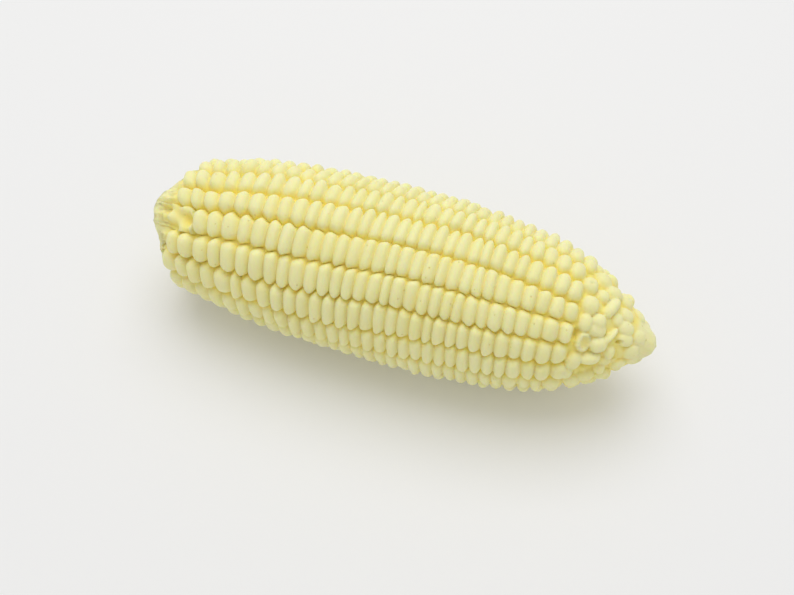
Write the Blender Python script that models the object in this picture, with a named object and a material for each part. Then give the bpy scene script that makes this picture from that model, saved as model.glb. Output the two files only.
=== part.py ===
"""Corn cob: one closed body with straight rows of kernels, a cut shank stub and an unfilled tip.

Metres, +Z up. The long axis lies along X, butt at -X and tip at +X, and the cob rests on the
flattened tops of its lowest kernels at z = 0. The origin is the bottom centre of the box.
"""
import math
import random

import bmesh
import bpy

MM = 0.001
LENGTH = 155.0          # mm, stub face to tip
AXIS_HEIGHT = 26.4      # mm, height of the long axis over the resting plane
ROWS = 18               # kernel rows round the middle of the cob
LATE_ROWS = (8, 13)     # rows that only open up some way along the cob, so the butt has 16
LATE_START = 18.0       # mm from the butt, where the late rows begin to widen
LATE_FULL = 56.0        # mm from the butt, where they are as wide as the rest
LATE_MIN = 0.25         # share of a full width that a late row has at the butt

FIRST_KERNEL = 5.0      # mm from the butt, start of the first ring of kernels
LAST_KERNEL = 132.0     # mm from the butt, end of the filled kernels
ROW_GROOVE = 2.5        # mm, depth of the grooves between rows
KERNEL_GROOVE = 1.5     # mm, depth of the creases between kernels of one row
TIP_RINGS = 9           # rings of small unfilled lumps past the last full kernel

# Envelope over the kernel tops: (mm from the butt, radius in mm)
ENVELOPE = (
    (3.0, 18.0), (5.0, 20.0), (9.0, 21.2), (14.0, 22.0), (26.7, 25.2), (45.7, 26.8),
    (66.7, 27.6), (90.7, 27.6), (109.7, 25.8), (125.7, 22.6), (138.7, 17.0),
    (148.3, 8.9), (153.1, 3.3), (LENGTH, 0.0),
)
# Length of one kernel along its row: (mm from the butt, mm)
PITCH = ((0.0, 5.1), (28.0, 5.0), (50.0, 4.4), (80.0, 3.75), (105.0, 3.6), (LENGTH, 3.9))
# Height of one chosen row above the horizontal, seen from the butt: (mm, degrees)
GUIDE = ((0.0, 25.0), (25.0, 33.0), (50.0, 35.0), (65.0, 39.0), (85.0, 43.5), (LENGTH, 43.5))

COLOUR = (0.80, 0.72, 0.30, 1.0)
ROUGHNESS = 0.62


def between(table, t):
    """Straight-line value of a (position, value) table at position t."""
    if t <= table[0][0]:
        return table[0][1]
    for (t0, v0), (t1, v1) in zip(table, table[1:]):
        if t <= t1:
            return v0 + (v1 - v0) * (t - t0) / (t1 - t0)
    return table[-1][1]


def smooth(a, b, t):
    """Soft step from 0 at a to 1 at b."""
    u = min(1.0, max(0.0, (t - a) / (b - a)))
    return u * u * (3.0 - 2.0 * u)


def row_share(row, t):
    """Width of a row as a share of a full row."""
    if row not in LATE_ROWS:
        return 1.0
    return LATE_MIN + (1.0 - LATE_MIN) * smooth(LATE_START, LATE_FULL, t)


def column_angles(t):
    """Angles of all columns at t: each row has a groove column and two columns on its kernels."""
    shares = [row_share(row, t) for row in range(ROWS)]
    full = 360.0 / sum(shares)
    edge = between(GUIDE, t) - 0.5 * full * shares[0]
    angles = []
    for share in shares:
        width = full * share
        for part in (0.0, 0.26, 0.74):
            angles.append(math.radians(edge + part * width))
        edge += width
    return angles


def kernel_ends():
    """Positions where one ring of kernels meets the next."""
    ends = [FIRST_KERNEL]
    while ends[-1] < LAST_KERNEL:
        ends.append(ends[-1] + between(PITCH, ends[-1]))
    return ends


def point(t, radius, angle):
    """A point of the skin: distance from the butt, radius, angle above the horizontal."""
    lean = 0.6 * (1.0 - smooth(0.0, 45.0, t))
    x = t - 0.5 * LENGTH
    y = -radius * math.cos(angle) - lean
    z = AXIS_HEIGHT + radius * math.sin(angle) - lean
    return (x * MM, y * MM, max(z, 0.0) * MM)


def body_rings(rng):
    """Rings from the stub face to just short of the tip, each a list of points."""
    rings = []
    # shank stub: a rough round face, its side, and the step out to the first kernels
    for t, radius, rough in ((0.0, 6.0, 0.1), (0.1, 12.2, 0.5), (0.9, 13.4, 0.5), (2.6, 15.0, 0.4),
                             (4.2, 16.8, 0.2)):
        ring = []
        for angle in column_angles(t):
            ring.append(point(t, radius + rough * rng.uniform(-0.5, 0.5), angle))
        rings.append(ring)
    # filled kernels: three rings each, every row shifted a third of a kernel from its neighbour
    ends = kernel_ends()
    places = []
    for start, end in zip(ends, ends[1:]):
        places += [start, start + (end - start) / 3.0, start + (end - start) * 2.0 / 3.0]
    heights = {}
    for index, t in enumerate(places):
        ring = []
        for column, angle in enumerate(column_angles(t)):
            row = column // 3
            beat = (index + row) % 3
            kernel = (row, (index + row) // 3)
            if kernel not in heights:
                heights[kernel] = rng.uniform(-0.25, 0.25)
            depth = KERNEL_GROOVE if beat == 0 else -heights[kernel]
            if column % 3 == 0:
                depth = ROW_GROOVE + 0.4 * (beat == 0)
            depth *= row_share(row, t) if column % 3 else 1.0
            ring.append(point(t, between(ENVELOPE, t) - depth, angle))
        rings.append(ring)
    # unfilled tip: small uneven lumps that die out on a smooth nose
    first = places[-1] + 1.2
    for index in range(TIP_RINGS):
        t = first + (LENGTH - 1.2 - first) * (index / (TIP_RINGS - 1.0)) ** 0.9
        lump = 2.6 * (1.0 - smooth(LAST_KERNEL, LENGTH - 3.0, t))
        ring = []
        for column, angle in enumerate(column_angles(t)):
            depth = lump * (0.4 * (column % 3 == 0) + rng.uniform(-0.1, 0.8))
            ring.append(point(t, between(ENVELOPE, t) - depth, angle))
        rings.append(ring)
    return rings


def centre(ring):
    """Middle of a ring in the cross-section."""
    return sum(p[1] for p in ring) / len(ring), sum(p[2] for p in ring) / len(ring)


def build_cob():
    """Skin the rings into one closed mesh with a fan at each end."""
    rings = body_rings(random.Random(18))
    mesh = bpy.data.meshes.new("corn_cob")
    bm = bmesh.new()
    verts = [[bm.verts.new(p) for p in ring] for ring in rings]
    half = 0.5 * LENGTH * MM
    butt = bm.verts.new((-half, *centre(rings[0])))
    tip = bm.verts.new((half, *centre(rings[-1])))
    count = len(rings[0])
    for k in range(count):
        n = (k + 1) % count
        bm.faces.new((butt, verts[0][n], verts[0][k]))
        for a, b in zip(verts, verts[1:]):
            bm.faces.new((a[k], a[n], b[n]))
            bm.faces.new((a[k], b[n], b[k]))
        bm.faces.new((verts[-1][k], verts[-1][n], tip))
    bmesh.ops.recalc_face_normals(bm, faces=bm.faces)
    if bm.calc_volume(signed=True) < 0.0:
        bmesh.ops.reverse_faces(bm, faces=bm.faces)
    for face in bm.faces:
        face.smooth = True
    bm.to_mesh(mesh)
    bm.free()
    return mesh


def cob_material():
    """Pale matt yellow."""
    material = bpy.data.materials.new("kernel_yellow")
    material.use_nodes = True
    shader = material.node_tree.nodes["Principled BSDF"]
    shader.inputs["Base Color"].default_value = COLOUR
    shader.inputs["Roughness"].default_value = ROUGHNESS
    shader.inputs["Metallic"].default_value = 0.0
    return material


for old in list(bpy.data.objects):
    bpy.data.objects.remove(old, do_unlink=True)

cob_mesh = build_cob()
cob_mesh.materials.append(cob_material())
cob = bpy.data.objects.new("corn_cob", cob_mesh)
bpy.context.scene.collection.objects.link(cob)
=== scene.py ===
"""Looks of the corn cob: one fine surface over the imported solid, with a floor, lights and camera.

The cob is modelled in its own measures, in mm and degrees. Places along it are counted from the
butt, and angles round it from the horizontal on the camera's side (-Y), rising over the top.
"""

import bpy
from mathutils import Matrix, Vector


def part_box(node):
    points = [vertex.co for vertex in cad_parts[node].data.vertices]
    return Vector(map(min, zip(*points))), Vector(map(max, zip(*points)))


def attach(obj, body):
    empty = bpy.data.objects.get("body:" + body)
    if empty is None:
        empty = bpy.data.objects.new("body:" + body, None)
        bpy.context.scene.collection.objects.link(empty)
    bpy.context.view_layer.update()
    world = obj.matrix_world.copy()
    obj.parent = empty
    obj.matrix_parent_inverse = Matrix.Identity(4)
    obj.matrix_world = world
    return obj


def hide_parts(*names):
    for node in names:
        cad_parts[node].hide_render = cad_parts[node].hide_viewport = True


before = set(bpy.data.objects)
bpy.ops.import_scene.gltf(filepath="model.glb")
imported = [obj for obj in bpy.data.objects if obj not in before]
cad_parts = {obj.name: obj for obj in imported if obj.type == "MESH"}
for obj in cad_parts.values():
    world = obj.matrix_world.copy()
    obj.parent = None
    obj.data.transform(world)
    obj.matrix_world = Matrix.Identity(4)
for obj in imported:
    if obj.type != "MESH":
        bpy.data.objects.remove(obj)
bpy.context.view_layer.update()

import math

import bpy
import numpy as np
from mathutils import Vector

LOW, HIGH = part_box("corn_cob")
LENGTH = 155.0                        # mm, butt to tip
MM = (HIGH.x - LOW.x) / LENGTH        # metres in one of the cob's millimetres
AXIS_HEIGHT = 26.4                    # mm, long axis over the floor
NEAR = 53.6                           # degrees, direction that faces the camera
SEED = 7

# ---- rows and kernels
ROWS = 18
LATE_ROWS = (8, 13)                   # hidden rows that only open up away from the butt
COLUMNS = 16                          # mesh columns across one row
COUNT = ROWS * COLUMNS                # mesh points in one ring
KERNELS = 31                          # kernels in one row
STEPS = 9                             # mesh rings along one kernel
FACE_RINGS = 5                        # rings across the cut face of the shank
SIDE_RINGS = 7                        # rings from the cut face up to the first kernels
TIP_RINGS = 54                        # rings from the last kernels to the tip

# Radius over the kernel tops: (mm from the butt, mm)
ENVELOPE = (
    (0.0, 16.4), (2.5, 18.6), (5.0, 20.4), (9.0, 21.5), (14.0, 22.2), (26.7, 25.3), (45.7, 26.9),
    (66.7, 27.7), (90.7, 27.6), (109.7, 25.8), (125.7, 22.7), (138.7, 17.0), (148.3, 9.0),
    (152.0, 5.2), (154.2, 2.8), (LENGTH, 0.0),
)
# Depth from the kernel tops to the bottom of the grooves between rows
DEPTH = ((0.0, 4.2), (30.0, 3.7), (70.0, 3.2), (110.0, 3.0), (130.0, 2.8), (138.0, 2.7),
         (145.0, 2.0), (150.0, 1.2), (152.5, 0.5), (153.5, 0.0), (LENGTH, 0.0))
# Lean of the kernels from square-on to the axis, degrees, positive towards the tip
LEAN = ((0.0, -42.0), (6.0, -32.0), (12.0, -15.0), (25.0, -6.0), (40.0, 0.0), (95.0, 0.0),
        (115.0, 7.0), (128.0, 14.0), (138.0, 26.0), (148.0, 38.0), (LENGTH, 42.0))
# Length of a kernel along its row
PITCH = ((0.0, 5.0), (15.0, 5.1), (28.0, 5.1), (38.0, 4.6), (50.0, 4.4), (62.0, 4.0),
         (80.0, 3.75), (105.0, 3.6), (116.0, 4.0), (135.0, 4.7))
# Lower edges of rows 0 to 4, which face the camera: (mm from the butt, degrees)
FRONT_EDGES = (
    ((12.0, -5.0), (35.0, 0.6), (55.0, 2.6), (75.0, 9.6), (95.0, 14.6), (130.0, 13.6)),
    ((10.0, 18.6), (25.0, 21.6), (45.0, 23.1), (65.0, 28.6), (78.0, 32.6), (130.0, 34.1)),
    ((10.0, 41.6), (25.0, 45.6), (45.0, 46.1), (65.0, 49.6), (80.0, 53.1), (130.0, 53.6)),
    ((15.0, 64.6), (25.0, 67.1), (45.0, 68.1), (62.0, 70.6), (80.0, 73.6), (105.0, 74.6),
     (130.0, 71.6)),
    ((20.0, 84.6), (35.0, 87.6), (50.0, 89.6), (75.0, 93.3), (95.0, 95.1), (130.0, 92.6)),
)
FRONT_STARTS = (3.2, 5.0, 3.0, 4.4, 3.2, 5.0)                # mm, first kernel of rows 0 to 5
FRONT_ENDS = (132.0, 132.4, 133.0, 132.0, 130.5, 133.4)      # mm, end of the last kernel
OTHER_STARTS = (3.5, 5.8)                                    # mm, range for the other rows
OTHER_ENDS = (130.0, 133.5)
LAST_ROW_START = 5.2
EMPTY = {2: 2, 7: 1}                                         # row: first kernels that never grew
SWING = 1.5                           # degrees, how far a groove winds between two rows

# ---- the shape of one kernel, and how kernels differ
ROUND_END = 2.5                       # 2 gives kernels elliptical ends, more gives squarer ones
DOME_POWER, DOME_ROOT = 2.3, 0.48     # a larger power gives flatter tops, a smaller root steeper sides
JOIN_SHIFT = 0.08                     # most joins move by up to this share of a kernel
BIG_SHIFT, BIG_CHANCE = 0.15, 0.06    # and a few of them by this much more
JOIN_SKEW = 0.14                      # mm, a join's slant at the edges of its row
BUTT_SKEW, SKEW_END = -0.9, 60.0      # mm, slant all round the butt, gone this far along
SIZE_SPREAD = 0.22                    # mm, kernel height
SLOPE_SPREAD = 0.22                   # mm, rise of a kernel's top along the row
TILT_SPREAD = 0.25                    # mm, rise of a kernel's top across the row
BLUNT = (0.85, 1.1)                   # length of a kernel's round end over half its own length
ACROSS_PULL, ALONG_PULL = 0.7, 0.45   # how far mesh lines are drawn to the edges of a kernel

# Unfilled kernels of the tip, nearly all facing the camera: (mm from the butt, degrees from
# NEAR, length along the cob, width round it, turn in degrees, share of the full height)
TIP_LUMPS = (
    (134.8, 22.0, 5.8, 6.6, 0.0, 1.05), (133.2, 42.0, 5.4, 6.4, 0.0, 1.0),
    (136.2, 61.0, 6.2, 6.6, 20.0, 1.0), (140.2, 55.0, 6.6, 5.2, 30.0, 0.95),
    (144.0, 64.0, 5.4, 5.6, 0.0, 0.95), (137.6, 39.0, 4.6, 4.8, 0.0, 0.8),
    (140.8, 32.0, 3.8, 9.4, -18.0, 1.2), (145.2, 38.0, 5.4, 5.0, 0.0, 0.85),
    (148.6, 72.0, 5.0, 4.6, 0.0, 0.8), (134.8, 4.0, 4.6, 6.4, 0.0, 1.0),
    (138.4, 9.0, 4.8, 5.4, 0.0, 1.15), (138.6, 0.0, 6.4, 5.0, 0.0, 0.95),
    (139.9, -16.0, 6.2, 5.4, 20.0, 1.2), (142.4, -4.0, 2.3, 7.4, -32.0, 1.05),
    (146.0, 15.0, 5.8, 5.2, 0.0, 1.0), (146.6, -4.0, 5.6, 4.6, 0.0, 0.95),
    (149.0, -30.0, 5.4, 5.2, 0.0, 1.0), (143.4, -27.0, 3.4, 5.0, 0.0, 1.0),
    (138.4, -33.0, 7.4, 3.9, 5.0, 1.2), (141.6, -53.0, 3.6, 3.4, 0.0, 1.1),
    (134.2, -37.0, 5.0, 7.0, -15.0, 1.0), (132.6, -51.0, 4.8, 6.0, 0.0, 1.0),
    (146.3, -57.0, 5.0, 4.2, 0.0, 0.9), (138.2, -62.0, 6.0, 4.6, 0.0, 1.0),
    (142.5, -74.0, 5.2, 4.8, 0.0, 0.9), (134.5, -68.0, 5.6, 6.0, 0.0, 1.0),
    (143.4, 22.0, 4.0, 5.0, 0.0, 0.7), (142.8, -42.0, 4.4, 4.0, 0.0, 0.6),
    (135.6, -15.0, 4.6, 6.8, 0.0, 1.15), (150.2, 10.0, 4.4, 5.0, 0.0, 0.9),
    (150.6, 120.0, 4.4, 6.0, 0.0, 0.9), (150.6, -110.0, 4.4, 6.0, 0.0, 0.9),
)
# Hollows cut into the tip, the same way, with the share of the height that they take away
TIP_HOLLOWS = (
    (135.9, -15.0, 3.2, 4.6, 0.0, 0.8), (145.2, -9.0, 1.6, 1.3, 0.0, 1.0),
    (138.4, -44.0, 4.6, 2.6, 0.0, 0.7), (133.2, -9.0, 2.0, 4.0, 0.0, 0.6),
    (133.0, 41.0, 1.1, 1.1, 0.0, 0.25),
)
# Rings of unfilled kernels on the other side of the tip: (mm from the butt, how many, mm across)
HIDDEN_RINGS = ((134.6, 18, 5.0), (138.8, 16, 4.4), (142.9, 12, 4.2), (146.8, 8, 3.8))
SEEN_SIDE = (-76.0, 74.0)             # degrees from NEAR, left to TIP_LUMPS

# ---- the shank, in mm
FACE_X = 0.9                          # middle of the cut face, from the butt
RIM_X = 0.7                           # rim of the cut face, before its waves
RIM_RADIUS = 13.9
FLAP_TURN, FLAP_WIDTH = 8.0, 26.0     # degrees from NEAR, a flap on the rim
FLAP_X, FLAP_RADIUS = 1.8, 1.4        # how far the flap sticks out
BUTT_DROP, DROP_END = 0.6, 45.0       # the axis sinks this much at the butt, from this far along


def curve(table, at, soft=4.0):
    """Value of a (position, value) table at these positions, its corners rounded over soft mm."""
    places, values = np.array(table).T
    total = np.zeros(np.shape(at))
    weights = (1.0, 2.0, 3.0, 4.0, 3.0, 2.0, 1.0)
    for k, weight in enumerate(weights):
        total = total + weight * np.interp(at + soft * (k - 3) / 3.0, places, values)
    return total / sum(weights)


def step(a, b, at):
    """Soft step from 0 at a to 1 at b."""
    u = np.clip((at - a) / (b - a), 0.0, 1.0)
    return u * u * (3.0 - 2.0 * u)


def envelope(at):
    """Radius over the kernel tops, with the tip kept at its true end."""
    places, values = np.array(ENVELOPE).T
    sharp = np.interp(at, places, values)
    mix = step(140.0, 152.0, at) + 1.0 - step(0.0, 6.0, at)
    return curve(ENVELOPE, at) * (1.0 - mix) + sharp * mix


def row_edge(row, at):
    """Angle of the lower edge of a row. Rows 0 to 3 face the camera, the rest share the back."""
    if row == ROWS:
        return row_edge(0, at) + 360.0
    if row < len(FRONT_EDGES):
        return curve(FRONT_EDGES[row], at)
    first = curve(FRONT_EDGES[-1], at)
    last = curve(FRONT_EDGES[0], at) + 360.0
    late = 0.12 + 0.88 * step(16.0, 54.0, at)
    shares = [late if r in LATE_ROWS else np.ones_like(late) for r in range(4, ROWS)]
    done = sum(shares[: row - 4], np.zeros_like(late))
    return first + (last - first) * done / sum(shares)


def row_share(row, at):
    """1 for an open row, less where a late row is still closed."""
    if row not in LATE_ROWS:
        return np.ones(np.shape(at))
    return step(18.0, 50.0, at)


def spread(count, pull):
    """count + 1 numbers from 0 to 1, drawn together at both ends."""
    w = np.arange(count + 1) / count
    return (1.0 - pull) * w + pull * (0.5 - 0.5 * np.cos(math.pi * w))


def ragged(along, turn):
    """Uneven ridges, about -1 to 1, from the place along the cob and the angle round it."""
    waves = ((0.9, 0.16, 0.0), (0.5, -0.27, 1.3), (1.3, 0.09, 4.0), (0.3, 0.45, 2.2))
    return sum(np.sin(a * along + b * turn + c) for a, b, c in waves) / 2.4


def skin_run():
    """Places along the cob, and the distance over the envelope from the butt to each of them."""
    fine = np.linspace(0.0, LENGTH, 3000)
    paces = np.hypot(np.diff(fine), np.diff(envelope(fine)))
    return fine, np.concatenate(([0.0], np.cumsum(paces)))


def kernel_bounds(rng):
    """Where each row's kernels meet along the cob: one line of KERNELS + 1 places for each row."""
    fine = np.linspace(0.0, LENGTH, 1500)
    beat = np.concatenate(([0.0], np.cumsum((fine[1] - fine[0]) / curve(PITCH, fine[1:]))))
    rows = []
    for row in range(ROWS):
        start = FRONT_STARTS[row] if row < len(FRONT_STARTS) else rng.uniform(*OTHER_STARTS)
        end = FRONT_ENDS[row] if row < len(FRONT_ENDS) else rng.uniform(*OTHER_ENDS)
        if row == ROWS - 1:
            start = LAST_ROW_START
        beats = np.linspace(np.interp(start, fine, beat), np.interp(end, fine, beat), KERNELS + 1)
        # uneven kernels: all joins shifted a little, a few shifted more, in shares of a kernel
        shift = rng.uniform(-JOIN_SHIFT, JOIN_SHIFT, KERNELS + 1)
        shift += (rng.random(KERNELS + 1) < BIG_CHANCE) * rng.choice((-BIG_SHIFT, BIG_SHIFT))
        shift[0] = 0.0
        rows.append(np.interp(beats + shift, beat, fine))
    return np.array(rows)


def lump(along, around, length, width, turn):
    """Rounded dome of height 1 over an oval of this size, 0 outside it."""
    c, s = math.cos(math.radians(turn)), math.sin(math.radians(turn))
    a = np.abs(along * c + around * s) / (0.5 * length)
    b = np.abs(-along * s + around * c) / (0.5 * width)
    return np.sqrt(np.clip(1.0 - a ** DOME_POWER - b ** DOME_POWER, 0.0, 1.0))


def kernel_dome(u, end):
    """Height of a kernel from 0 to 1, by u along the row and by how far into its round end."""
    out = (np.abs(u) ** ROUND_END + np.abs(end) ** ROUND_END) ** (1.0 / ROUND_END)
    return np.clip(1.0 - out ** DOME_POWER, 0.0, 1.0) ** DOME_ROOT


def kernel_at(place, joins):
    """Number of the kernel at each place of a row, and how far from its middle, -1 to 1."""
    spot = np.interp(place, joins, np.arange(KERNELS + 1))
    which = np.minimum(spot.astype(int), KERNELS - 1)
    return which, 2.0 * (spot - which) - 1.0


def row_rings(bounds, along, rng):
    """Mesh rings of each row down its middle, their skew at its edges, and each join's skew."""
    ring = np.arange(KERNELS * STEPS + 1)
    which = np.minimum(ring // STEPS, KERNELS - 1)
    part = along[ring - which * STEPS]
    middle = []
    skewed = []
    skews = []
    for join in bounds:
        skew = rng.normal(0.0, JOIN_SKEW, KERNELS + 1)
        skew = skew + np.interp(join, (5.0, SKEW_END), (BUTT_SKEW, 0.0))
        middle.append(join[which] + part * (join[which + 1] - join[which]))
        skewed.append(skew[which] + part * (skew[which + 1] - skew[which]))
        skews.append(skew)
    return middle, skewed, skews


def surface_grid(rng):
    """Position along the cob, angle, and height over the groove bottom of every mesh point."""
    bounds = kernel_bounds(rng)
    across = spread(COLUMNS, ACROSS_PULL)[:-1]
    middle, skewed, skews = row_rings(bounds, spread(STEPS, ALONG_PULL), rng)

    length = np.zeros((KERNELS * STEPS + 1, COUNT))
    angle = np.zeros_like(length)
    height = np.zeros_like(length)
    for row in range(ROWS):
        after = (row + 1) % ROWS
        before = (row - 1) % ROWS
        low_edge = 0.5 * (middle[row] - skewed[row] + middle[before] + skewed[before])
        high_edge = 0.5 * (middle[row] + skewed[row] + middle[after] - skewed[after])
        # what differs from kernel to kernel: height, the top's two slopes, and the round ends
        size = rng.normal(0.0, SIZE_SPREAD, KERNELS)
        lean_u = rng.normal(0.0, SLOPE_SPREAD, KERNELS)
        lean_v = rng.normal(0.0, TILT_SPREAD, KERNELS)
        blunt = rng.uniform(*BLUNT, KERNELS)
        join = bounds[row]
        for column, f in enumerate(across):
            v = 2.0 * f - 1.0
            place = middle[row] + v * skewed[row]
            # close to the groove, the rings run over into those of the next row
            hold = step(0.8, 1.0, np.abs(v))
            edge = low_edge if v < 0.0 else high_edge
            place = place * (1.0 - hold) + edge * hold
            mine, u = kernel_at(place, join + v * skews[row])
            side = before if v < 0.0 else after
            next_u = kernel_at(place, bounds[side] - v * skews[side])[1]

            # the groove swings round the bulge of the kernels on both sides of it
            swing = np.cos(0.5 * math.pi * u) ** 2 - np.cos(0.5 * math.pi * next_u) ** 2
            low = row_edge(row, place)
            high = row_edge(row + 1, place)
            turn = low + f * (high - low) + SWING * swing * abs(v) * v

            # seen from above a kernel has straight sides and round ends, as wide as it is long
            depth = curve(DEPTH, place)
            rounder = np.maximum(step(70.0, 10.0, place), 0.8 * step(108.0, 130.0, place))
            half_width = 0.5 * np.radians(high - low) * envelope(place)
            half_length = 0.5 * (join[mine + 1] - join[mine]) * blunt[mine]
            reach = 1.0 - 0.03 * rounder
            end = np.maximum((abs(v) - reach) * half_width + half_length, 0.0) / half_length
            dome = kernel_dome(u, end)
            if column == 0:
                dome = 0.85 * np.maximum(dome, kernel_dome(next_u, end))
            dome = dome * (1.0 - (0.16 + 0.08 * rounder) * v * v)
            # the shallow groove between one kernel and the next in the row
            ridge = np.clip(1.0 - abs(v / 0.84) ** 3.0, 0.0, 1.0) ** 0.6
            ridge = ridge * (0.60 - 0.16 * rounder) * (1.0 - 0.2 * np.abs(u) ** 4)
            tall = depth + size[mine] + lean_u[mine] * u + lean_v[mine] * v
            rise = np.maximum(tall * dome, depth * ridge)
            bare = mine < EMPTY.get(row, 0)
            rise = np.where(bare, depth * (0.4 + 0.35 * ragged(place, turn)), rise)

            index = row * COLUMNS + column
            length[:, index] = place
            angle[:, index] = turn
            height[:, index] = rise * row_share(row, place)
    return length, angle, height


def tip_grid(last_ring):
    """Places, angles and heights from the last kernels to just short of the tip."""
    fine, run = skin_run()
    start = np.interp(last_ring, fine, run)
    share = (np.arange(1, TIP_RINGS + 1) / (TIP_RINGS + 0.6))[:, None]
    place = np.interp(start + (run[-1] - start) * share, run, fine)
    across = spread(COLUMNS, ACROSS_PULL)[:-1]
    angle = np.zeros_like(place)
    for row in range(ROWS):
        cols = slice(row * COLUMNS, (row + 1) * COLUMNS)
        low = row_edge(row, place[:, cols])
        high = row_edge(row + 1, place[:, cols])
        angle[:, cols] = low + across * (high - low)
    height = curve(DEPTH, place) * (0.14 + 0.12 * ragged(2.0 * place, 0.5 * angle))
    return place, angle, height


def hidden_lumps(rng):
    """Unfilled kernels on the side of the tip that faces away, in the form of TIP_LUMPS."""
    made = []
    for level, (place, count, size) in enumerate(HIDDEN_RINGS):
        for k in range(count):
            turn = 360.0 * (k + 0.5 * (level % 2)) / count + rng.normal(0.0, 3.0)
            turn = (turn + 180.0) % 360.0 - 180.0
            if SEEN_SIDE[0] < turn < SEEN_SIDE[1]:
                continue
            made.append((place + rng.normal(0.0, 0.6), turn, size * rng.uniform(0.85, 1.2),
                         size * rng.uniform(0.85, 1.2), rng.uniform(-30.0, 30.0),
                         rng.uniform(0.75, 1.1)))
    return made


def add_lumps(length, angle, height, rng):
    """Raises the tip's lumps and sinks its hollows."""
    fine, run = skin_run()
    along = np.interp(length, fine, run)
    radius = np.maximum(envelope(length), 0.5)

    def dome(place, turn, size, width, spin):
        gap = (angle - NEAR - turn + 180.0) % 360.0 - 180.0
        far = along - np.interp(place, fine, run)
        return lump(far, np.radians(gap) * radius, size, width, spin)

    for *oval, share in list(TIP_LUMPS) + hidden_lumps(rng):
        full = max(1.0, float(curve(DEPTH, oval[0])))
        height = np.maximum(height, share * dome(*oval) * full)
    depth = curve(DEPTH, length)
    for *oval, share in TIP_HOLLOWS:
        height = height - share * dome(*oval) * depth
    return height


def place_points(length, angle, height):
    """Turns the three grids into points, in mm, with x from the butt."""
    depth = curve(DEPTH, length)
    lean = np.radians(curve(LEAN, length))
    off = height - depth
    x = length + off * np.sin(lean)
    radius = envelope(length) + off * np.cos(lean)
    return x, np.maximum(radius, 0.0), np.radians(angle)


def shank_rings(x, radius, turn, rng):
    """The shank's rings, up to a first ring of kernels: a rough cut face, then its side."""
    spokes = np.arange(COUNT) * 2.0 * math.pi / COUNT
    wave = sum(np.sin(spokes * k + rng.uniform(0.0, 6.3)) / k ** 0.6 for k in (3, 5, 8, 13, 21, 34))
    facing = (np.degrees(turn) - NEAR + 180.0) % 360.0 - 180.0
    flap = np.exp(-((facing - FLAP_TURN) / FLAP_WIDTH) ** 2)
    rim_x = RIM_X + 0.65 * wave
    rim_x = rim_x - rim_x.min() - FLAP_X * flap
    rim_radius = RIM_RADIUS + 0.6 * np.roll(wave, 40) + FLAP_RADIUS * flap
    # columns that lie close together get less roughness, so that they don't crease
    spacing = np.diff(turn, append=turn[0] + 2.0 * math.pi)
    calm = np.minimum(1.0, spacing / np.median(spacing))

    rows_x, rows_radius, rows_shade = [], [], []
    for k in range(FACE_RINGS):
        share = (k + 1.0) / (FACE_RINGS + 1.0)
        grain = 0.16 * np.sin(5.0 * turn + 2.0 * k) + 0.12 * np.sin(12.0 * turn - 1.3 * k)
        dish = FACE_X + (rim_x - FACE_X) * share ** 3 + 0.5 * math.cos(7.0 * share)
        rows_x.append(dish + grain * share)
        rows_radius.append(rim_radius * share)
        rows_shade.append(np.full(COUNT, 0.15))
    for k in range(SIDE_RINGS):
        share = k / float(SIDE_RINGS)
        bump = 0.8 * calm * rng.standard_normal(COUNT) * math.sin(math.pi * share)
        bump = 0.5 * (bump + np.roll(bump, 1))
        rows_x.append(rim_x + (x - rim_x) * share)
        rows_radius.append(rim_radius + (radius - rim_radius) * share + bump)
        rows_shade.append(np.full(COUNT, 0.2 + 0.5 * share))
    return rows_x, rows_radius, rows_shade


def closed_mesh(name, rings, points):
    """A mesh of rings of COUNT points, closed by the two points that follow them."""
    faces = []
    for r in range(rings - 1):
        for c in range(COUNT):
            d = (c + 1) % COUNT
            near, far = r * COUNT, (r + 1) * COUNT
            faces.append((near + c, near + d, far + d, far + c))
    butt, tip = rings * COUNT, rings * COUNT + 1
    last = (rings - 1) * COUNT
    for c in range(COUNT):
        d = (c + 1) % COUNT
        faces.append((butt, d, c))
        faces.append((last + c, last + d, tip))
    mesh = bpy.data.meshes.new(name)
    mesh.from_pydata(points.tolist(), [], faces)
    mesh.shade_smooth()
    return mesh


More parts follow.
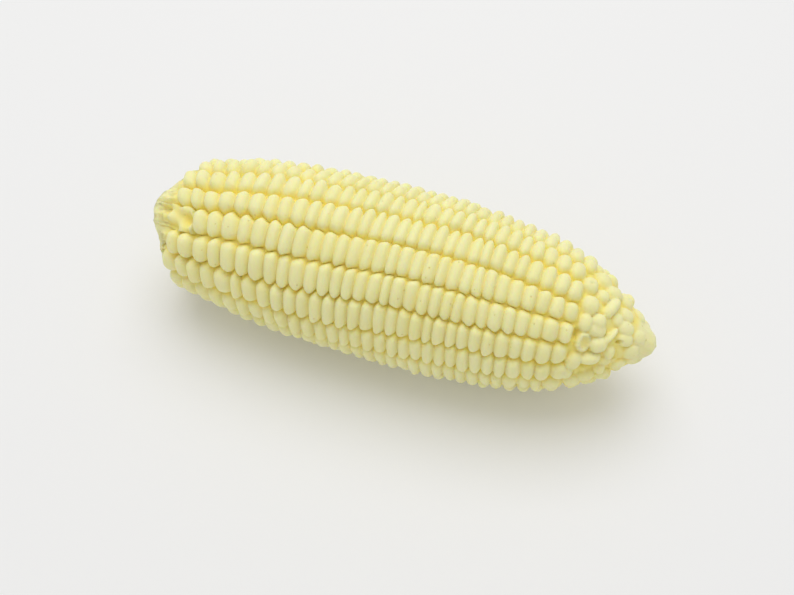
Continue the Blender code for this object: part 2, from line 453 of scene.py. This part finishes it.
def cob_mesh():
    """The whole skin as one closed mesh, with how deep in a groove each point lies, which sets how
    much painted golden glow it gets.
    """
    rng = np.random.default_rng(SEED)
    kernels = surface_grid(rng)
    tip = tip_grid(kernels[0][-1])
    length, angle, height = (np.vstack(pair) for pair in zip(kernels, tip))
    height = add_lumps(length, angle, height, rng)
    x, radius, turn = place_points(length, angle, height)
    # share of painted light: a golden glow of light bounced inside the grooves, by groove depth,
    # weaker over the tip and gone at its end
    shade = np.clip(1.0 - height / np.maximum(curve(DEPTH, length), 0.6), 0.0, 1.0)
    shade *= 1.0 - 0.2 * step(130.0, 140.0, length)
    shade *= 1.0 - step(148.0, 151.5, length)

    # the shank's own paler tone goes into the same attribute
    shank_x, shank_radius, shank_shade = shank_rings(x[0], radius[0], turn[0], rng)
    x = np.vstack((shank_x, x))
    radius = np.vstack((shank_radius, radius))
    shade = np.vstack((shank_shade, shade))
    turn = np.vstack([turn[0]] * len(shank_x) + [turn])

    drop = BUTT_DROP * step(DROP_END, 0.0, x)
    y = -radius * np.cos(turn) - drop
    z = np.maximum(AXIS_HEIGHT + radius * np.sin(turn) - drop, 0.0)
    points = np.stack((x - 0.5 * LENGTH, y, z), axis=-1).reshape(-1, 3)
    butt_point = (FACE_X - 0.5 * LENGTH, -BUTT_DROP, AXIS_HEIGHT - BUTT_DROP)
    tip_point = (0.5 * LENGTH, 0.0, AXIS_HEIGHT)
    points = np.vstack((points, (butt_point, tip_point))) * MM
    points[:, 0] += 0.5 * (LOW.x + HIGH.x)
    points[:, 2] += LOW.z
    shade = np.concatenate((shade.ravel(), (0.2, 0.0)))
    mesh = closed_mesh("corn_cob_surface", len(x), points)
    mesh.attributes.new("groove", "FLOAT", "POINT").data.foreach_set("value", shade)
    return mesh


# ---- materials
TOP_YELLOW = (0.86, 0.82, 0.41, 1.0)
TOP_CREAM = (0.88, 0.85, 0.46, 1.0)
# painted light: golden glow standing in for light bounced and passed through the wax in the grooves
GROOVE_PAINTED_GLOW = (0.95, 0.81, 0.22, 1.0)
# painted shade inside the pinholes, which are too small to model
PINHOLE_PAINTED_SHADE = (0.70, 0.55, 0.16, 1.0)


def add(tree, kind, inputs=(), **settings):
    """A node with these settings; inputs are (socket, value or socket to link)."""
    node = tree.nodes.new(kind)
    for name, value in settings.items():
        setattr(node, name, value)
    for socket, value in inputs:
        if isinstance(value, bpy.types.NodeSocket):
            tree.links.new(value, node.inputs[socket])
        else:
            node.inputs[socket].default_value = value
    return node


def colour_mix(tree, share, a, b):
    """Colour a where share is 0 and b where it is 1."""
    return add(tree, "ShaderNodeMix", ((0, share), (6, a), (7, b)), data_type="RGBA").outputs[2]


def maths(tree, operation, a, b):
    """The outcome of one operation on two values or sockets."""
    return add(tree, "ShaderNodeMath", ((0, a), (1, b)), operation=operation).outputs[0]


def new_material(name):
    """An empty node material with its shader."""
    material = bpy.data.materials.new(name)
    material.use_nodes = True
    tree = material.node_tree
    return material, tree, tree.nodes["Principled BSDF"]


def kernel_material():
    """Pale matt yellow, with a painted golden glow of bounced light in the grooves, fine grain, and a
    few pinholes darkened with painted shade.
    """
    material, tree, shader = new_material("kernel_yellow")
    where = add(tree, "ShaderNodeTexCoord").outputs["Object"]
    scaled = add(tree, "ShaderNodeVectorMath", ((0, where), (3, 1.0 / MM)), operation="SCALE")
    in_mm = scaled.outputs[0]

    # colour: slightly cloudy over the tops, with a painted golden glow of bounced light where the mesh
    # says it is deep in a groove
    cloud = add(tree, "ShaderNodeTexNoise", ((0, in_mm), ("Scale", 0.09), ("Detail", 3.0)))
    cloud = add(tree, "ShaderNodeMapRange", ((0, cloud.outputs["Fac"]), (1, 0.35), (2, 0.65)))
    top = colour_mix(tree, cloud.outputs[0], TOP_YELLOW, TOP_CREAM)
    groove = add(tree, "ShaderNodeAttribute", attribute_name="groove").outputs["Fac"]
    deep = add(tree, "ShaderNodeMapRange", ((0, groove), (1, 0.2), (2, 0.9)),
               interpolation_type="SMOOTHSTEP").outputs[0]
    colour = colour_mix(tree, deep, top, GROOVE_PAINTED_GLOW)

    # pinholes: one at the middle of each cell that is picked, a bump pit whose middle is darkened with
    # painted shade
    cells = add(tree, "ShaderNodeTexVoronoi", ((0, in_mm), ("Scale", 0.36)))
    pick = add(tree, "ShaderNodeSeparateColor", ((0, cells.outputs["Color"]),)).outputs[0]
    chosen = maths(tree, "GREATER_THAN", pick, 0.55)
    pit = add(tree, "ShaderNodeMapRange", ((0, cells.outputs["Distance"]), (1, 0.05), (2, 0.12),
                                           (3, 1.0), (4, 0.0))).outputs[0]
    pit = maths(tree, "MULTIPLY", pit, chosen)
    colour = colour_mix(tree, maths(tree, "MULTIPLY", pit, 0.5), colour, PINHOLE_PAINTED_SHADE)
    tree.links.new(colour, shader.inputs["Base Color"])

    grain = add(tree, "ShaderNodeTexNoise", ((0, in_mm), ("Scale", 1.6), ("Detail", 4.0)))
    grain = maths(tree, "MULTIPLY", grain.outputs["Fac"], 0.4)
    level = maths(tree, "SUBTRACT", grain, pit)
    bump = add(tree, "ShaderNodeBump", (("Height", level), ("Strength", 0.8), ("Distance", 0.2 * MM)))
    tree.links.new(bump.outputs[0], shader.inputs["Normal"])
    shader.inputs["Roughness"].default_value = 0.62
    shader.inputs["Specular IOR Level"].default_value = 0.3
    shader.inputs["Subsurface Weight"].default_value = 0.6
    shader.inputs["Subsurface Radius"].default_value = (1.0, 0.8, 0.25)
    shader.inputs["Subsurface Scale"].default_value = 2.4 * MM
    return material


def floor_material():
    """Plain white paper, with a weak warm light of its own that keeps the shadow pale."""
    material, _, shader = new_material("white_paper")
    shader.inputs["Base Color"].default_value = (0.75, 0.75, 0.76, 1.0)
    shader.inputs["Roughness"].default_value = 0.9
    shader.inputs["Specular IOR Level"].default_value = 0.1
    shader.inputs["Emission Color"].default_value = (1.0, 0.98, 0.86, 1.0)
    shader.inputs["Emission Strength"].default_value = 0.12
    return material


# ---- the cob
cob = bpy.data.objects.new("corn_cob_surface", cob_mesh())
bpy.context.scene.collection.objects.link(cob)
cob.data.materials.append(kernel_material())
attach(cob, "root")
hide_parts("corn_cob")

# ---- floor, lights and camera
FLOOR_SIZE = 6.0                      # metres
FLOOR_GAP = 0.05 * MM
LIGHT_PLACE = (-0.1, 0.25, 1.1)       # metres from the target
LIGHT_SIZE, LIGHT_POWER = 1.1, 7.4    # metres, watts
SKY = 0.57                            # strength of the white light from all round
AZIMUTH = math.radians(19.25)         # from square-on to the cob, towards its tip
ELEVATION = math.radians(52.0)
DISTANCE = 405.0 * MM
TARGET_X = -2.5 * MM                  # from the middle of the cob

bpy.ops.mesh.primitive_plane_add(size=FLOOR_SIZE, location=(0.0, 0.0, LOW.z - FLOOR_GAP))
floor = bpy.context.object
floor.name = "floor"
floor.data.materials.append(floor_material())

target = Vector(((LOW.x + HIGH.x) / 2.0 + TARGET_X, 0.0, LOW.z + AXIS_HEIGHT * MM))


def look_at_target(item, offset):
    """Puts a lamp or camera at an offset from the target, facing it."""
    item.location = target + offset
    item.rotation_euler = (-offset).to_track_quat("-Z", "Y").to_euler()
    bpy.context.scene.collection.objects.link(item)


light = bpy.data.lights.new("overhead", "AREA")
light.size = LIGHT_SIZE
light.energy = LIGHT_POWER
look_at_target(bpy.data.objects.new("overhead", light), Vector(LIGHT_PLACE))

world = bpy.data.worlds.new("studio")
world.use_nodes = True
world.node_tree.nodes["Background"].inputs[0].default_value = (1.0, 1.0, 1.0, 1.0)
world.node_tree.nodes["Background"].inputs[1].default_value = SKY
bpy.context.scene.world = world
bpy.context.scene.view_settings.view_transform = "Standard"

back = Vector((math.sin(AZIMUTH) * math.cos(ELEVATION), -math.cos(AZIMUTH) * math.cos(ELEVATION),
               math.sin(ELEVATION)))
lens = bpy.data.cameras.new("camera")
lens.lens = 60.0
lens.shift_x = -0.0033
lens.shift_y = -0.0275
lens.clip_start = 0.01
camera = bpy.data.objects.new("camera", lens)
look_at_target(camera, back * DISTANCE)
bpy.context.scene.camera = camera
